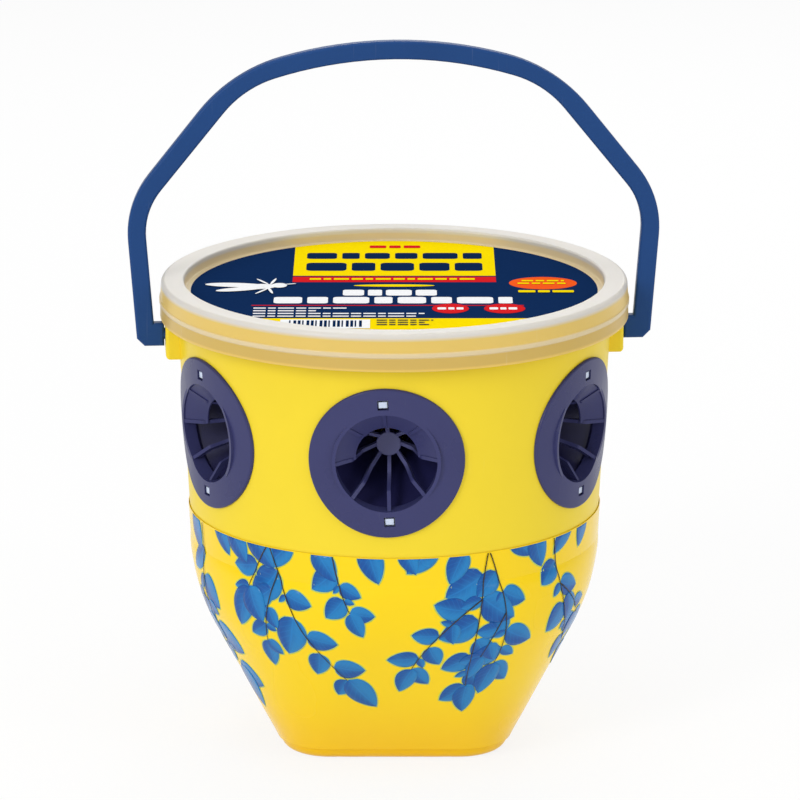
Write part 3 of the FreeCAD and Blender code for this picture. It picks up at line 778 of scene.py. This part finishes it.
class TRAP_OT_entries(bpy.types.Operator):
    """Finish the screens, rings and funnels of the entries"""
    bl_idname = "trap.entries"
    bl_label = "Entries"

    def execute(self, context):
        colours = context.scene.trap_plastic
        finishes = {
            "entry_bezel_": plastic("Screen Plastic", colours.screen, 0.30, 700.0, 0.03 * MM, marks=0.1,
                                     Specular_IOR_Level=0.2),
            "entry_ring_": plastic("Ring Plastic", colours.ring, 0.25, 500.0, 0.02 * MM, marks=0.05, mottle=0.02),
            "entry_funnel_": plastic("Funnel Plastic", colours.funnel, 0.38, 600.0, 0.04 * MM, marks=0.1),
        }
        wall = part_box("label_sleeve")[1].x
        screen = finishes["entry_bezel_"]
        # Painted light: nearer the axis than 22 mm inside the sleeve's reach, the screens take the lighter rib
        # colour, blending back to the screen colour by 8 mm, as the ribs and nose catch the light there
        tint_under(screen, axis_blend(screen.node_tree, wall - 22 * MM, wall - 8 * MM), colours.ribs)
        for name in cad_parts:
            for start, material in finishes.items():
                if name.startswith(start):
                    finish_node(name, material)
        return {"FINISHED"}


class TRAP_OT_handle(bpy.types.Operator):
    """Finish the bail handle"""
    bl_idname = "trap.handle"
    bl_label = "Handle"

    def execute(self, context):
        colours = context.scene.trap_plastic
        finish_node("handle", plastic("Handle Plastic", colours.handle, 0.36, 520.0, 0.04 * MM, marks=0.15,
                                      Specular_IOR_Level=0.12))
        return {"FINISHED"}


# --- studio -------------------------------------------------------------------------------------

class TRAP_OT_studio(bpy.types.Operator):
    """Set out the floor, the soft lamps, the world and the camera"""
    bl_idname = "trap.studio"
    bl_label = "Studio"

    def execute(self, context):
        studio = context.scene.trap_studio
        self.floor(studio)
        self.lamps()
        self.world(context.scene)
        self.camera(context.scene, studio)
        context.scene.view_settings.view_transform = "Standard"
        return {"FINISHED"}

    def floor(self, studio):
        mesh = bmesh.new()
        bmesh.ops.create_grid(mesh, x_segments=1, y_segments=1, size=6.0)
        data = bpy.data.meshes.new("studio_floor")
        mesh.to_mesh(data)
        mesh.free()
        floor = bpy.data.objects.new("studio_floor", data)
        bpy.context.scene.collection.objects.link(floor)
        data.materials.append(self.floor_material(studio))

    def floor_material(self, studio):
        """White to the camera and in reflections, with a soft shadow left on it."""
        material, tree, shader = new_material("Studio Floor")
        shader.inputs["Base Color"].default_value = (*studio.floor, 1.0)
        shader.inputs["Roughness"].default_value = 0.9
        shader.inputs["Specular IOR Level"].default_value = 0.1
        rays = add(tree, "ShaderNodeLightPath")
        seen = add(tree, "ShaderNodeMath", {0: rays.outputs["Is Camera Ray"], 1: rays.outputs["Is Glossy Ray"]},
                   operation="MAXIMUM")
        seen = add(tree, "ShaderNodeMath", {0: seen.outputs[0], 1: rays.outputs["Is Transmission Ray"]},
                   operation="MAXIMUM")
        share = add(tree, "ShaderNodeMath", {0: seen.outputs[0], 1: 0.85}, operation="MULTIPLY")
        white = add(tree, "ShaderNodeEmission", {"Color": (1, 1, 1, 1), "Strength": 1.0})
        blend = add(tree, "ShaderNodeMixShader", {0: share.outputs[0]})
        tree.links.new(shader.outputs["BSDF"], blend.inputs[1])
        tree.links.new(white.outputs["Emission"], blend.inputs[2])
        output = next(n for n in tree.nodes if n.type == "OUTPUT_MATERIAL")
        tree.links.new(blend.outputs["Shader"], output.inputs["Surface"])
        return material

    def lamps(self):
        """Soft boxes: (name, place, size, power), each aimed at the point (0, 0, 0.15)."""
        boxes = (
            ("key_left", (-1.3, -1.5, 1.2), (0.5, 1.3), 16.0),
            ("fill_right", (1.5, -1.3, 0.9), (0.3, 1.3), 5.0),
            ("top", (0.0, -0.2, 2.0), (1.4, 1.4), 9.0),
            ("back", (0.3, 1.6, 1.2), (1.2, 0.8), 8.0),
        )
        for name, place, size, power in boxes:
            lamp = bpy.data.lights.new(name, "AREA")
            lamp.shape, lamp.size, lamp.size_y, lamp.energy = "RECTANGLE", size[0], size[1], power
            holder = bpy.data.objects.new(name, lamp)
            holder.location = place
            aim = Vector((0, 0, 0.15)) - Vector(place)
            holder.rotation_mode = "QUATERNION"
            holder.rotation_quaternion = aim.to_track_quat("-Z", "Y")
            bpy.context.scene.collection.objects.link(holder)

    def world(self, scene):
        """An even grey for lighting, seen as white behind the object."""
        world = bpy.data.worlds.new("studio_world")
        world.use_nodes = True
        tree = world.node_tree
        tree.nodes.clear()
        rays = add(tree, "ShaderNodeLightPath")
        strength = add(tree, "ShaderNodeMapRange", {"Value": rays.outputs["Is Camera Ray"],
                                                    "To Min": 0.55, "To Max": 1.0})
        light = add(tree, "ShaderNodeBackground", {"Color": (1, 1, 1, 1), "Strength": strength.outputs["Result"]})
        output = add(tree, "ShaderNodeOutputWorld")
        tree.links.new(light.outputs["Background"], output.inputs["Surface"])
        scene.world = world

    def camera(self, scene, studio):
        data = bpy.data.cameras.new("studio_camera")
        data.lens = studio.lens
        data.sensor_width = 36.0
        data.clip_end = 50.0
        camera = bpy.data.objects.new("studio_camera", data)
        turn, rise = studio.azimuth, studio.elevation
        back = Vector((math.sin(turn) * math.cos(rise), -math.cos(turn) * math.cos(rise), math.sin(rise)))
        side = Vector((math.cos(turn), math.sin(turn), 0)) * studio.look_side
        camera.location = side + Vector((0, 0, studio.look_height)) + back * studio.distance
        camera.rotation_mode = "QUATERNION"
        camera.rotation_quaternion = (-back).to_track_quat("-Z", "Y")
        scene.collection.objects.link(camera)
        scene.camera = camera


# --- panel and registration ------------------------------------------------------------------------

STEPS = ("tub", "sleeve", "lid", "lid_print", "entries", "handle", "studio")


class TRAP_PT_panel(bpy.types.Panel):
    """Lists the trap's steps and settings"""
    bl_label = "Fly Trap"
    bl_idname = "TRAP_PT_panel"
    bl_space_type = "VIEW_3D"
    bl_region_type = "UI"
    bl_category = "Fly Trap"

    def draw(self, context):
        for step in STEPS:
            self.layout.operator(f"trap.{step}")
        for group in SETTINGS:
            settings = getattr(context.scene, group)
            for name in settings.__annotations__:
                self.layout.prop(settings, name)


SETTINGS = {"trap_plastic": PlasticSettings, "trap_sleeve": SleeveSettings,
            "trap_lid_print": LidPrintSettings, "trap_studio": StudioSettings}
CLASSES = (*SETTINGS.values(), TRAP_OT_tub, TRAP_OT_sleeve, TRAP_OT_lid, TRAP_OT_lid_print, TRAP_OT_entries,
           TRAP_OT_handle, TRAP_OT_studio, TRAP_PT_panel)


def register():
    for cls in CLASSES:
        bpy.utils.register_class(cls)
    for name, cls in SETTINGS.items():
        setattr(bpy.types.Scene, name, PointerProperty(type=cls))


def unregister():
    for name in SETTINGS:
        delattr(bpy.types.Scene, name)
    for cls in reversed(CLASSES):
        bpy.utils.unregister_class(cls)


def main():
    register()
    for step in STEPS:
        getattr(bpy.ops.trap, step)()


if __name__ == "__main__":
    main()
